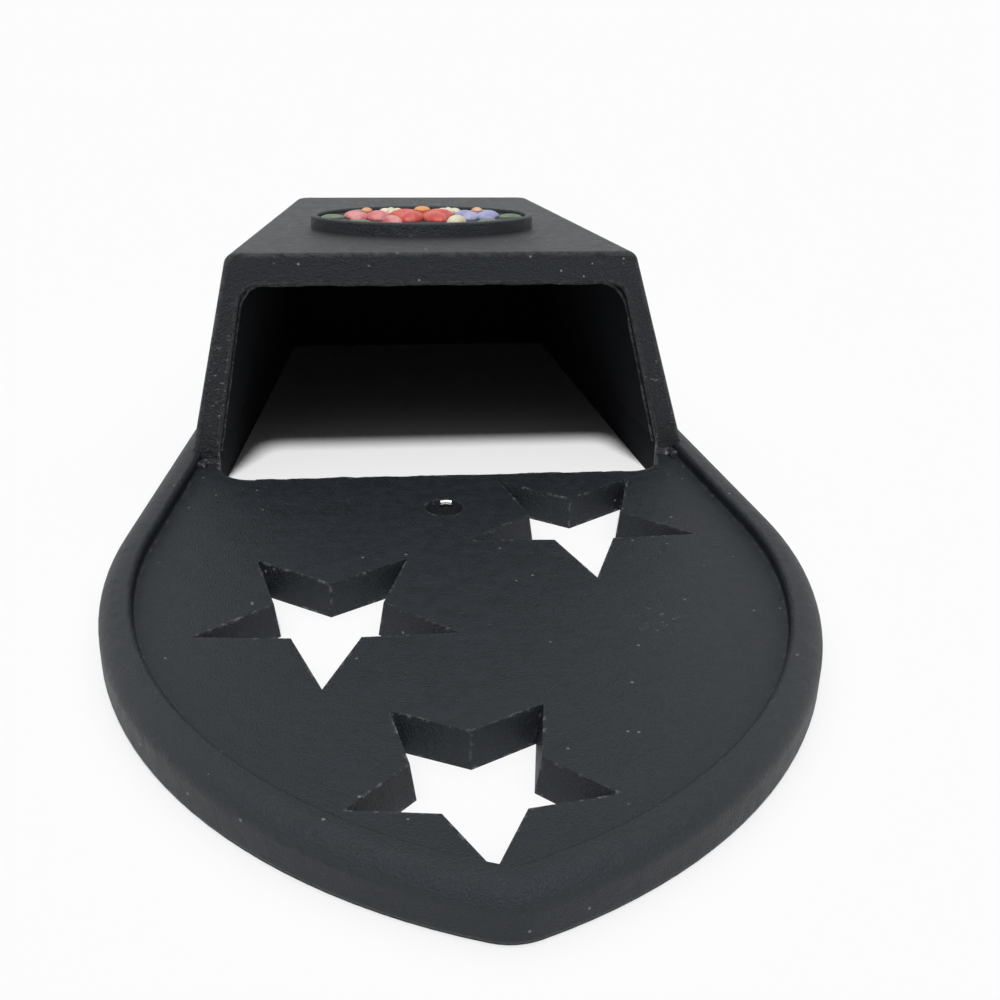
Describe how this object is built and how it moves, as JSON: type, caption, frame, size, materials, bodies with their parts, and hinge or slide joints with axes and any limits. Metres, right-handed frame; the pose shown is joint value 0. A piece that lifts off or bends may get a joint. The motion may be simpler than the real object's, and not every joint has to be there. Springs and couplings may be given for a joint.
{
  "type": "wall match holder",
  "caption": "Shield-shaped cast iron wall plate with a raised rim, pierced stars, a screw hole and an open-topped box pocket for matches, with an oval painted flower plaque.",
  "frame": {"origin": "below the middle of the casting's length and width, in the plane of its back", "axes": "+Z out of the wall, -Y up when it hangs (towards the plate's tip), +X to the right in the picture"},
  "size_m": [0.0876, 0.1608, 0.0358],
  "materials": {
    "cast_iron": "satin black, fine sand-cast grain, worn bright on the edges",
    "coral_paint": "hand-applied satin paint, slightly worn",
    "orange_paint": "hand-applied satin paint, slightly worn",
    "pink_paint": "hand-applied satin paint, slightly worn",
    "lavender_paint": "hand-applied satin paint, slightly worn",
    "peach_paint": "hand-applied satin paint, slightly worn",
    "cream_paint": "hand-applied satin paint, slightly worn",
    "green_paint": "hand-applied satin paint, slightly worn"
  },
  "bodies": {
    "root": {"back_plate": "cast_iron", "match_pocket": "cast_iron", "medallion_plaque": "cast_iron", "centre_blossom": "coral_paint", "centre_heart": "orange_paint", "left_blossom": "pink_paint", "left_heart": "peach_paint", "left_bell": "cream_paint", "left_bud": "pink_paint", "left_end_leaf": "green_paint", "left_upper_leaf": "green_paint", "left_lower_leaf": "green_paint", "right_blossom": "lavender_paint", "right_heart": "peach_paint", "right_bell": "cream_paint", "right_bud": "cream_paint", "right_end_leaf": "green_paint", "right_upper_leaf": "green_paint", "right_lower_leaf": "green_paint"}
  },
  "joints": []
}
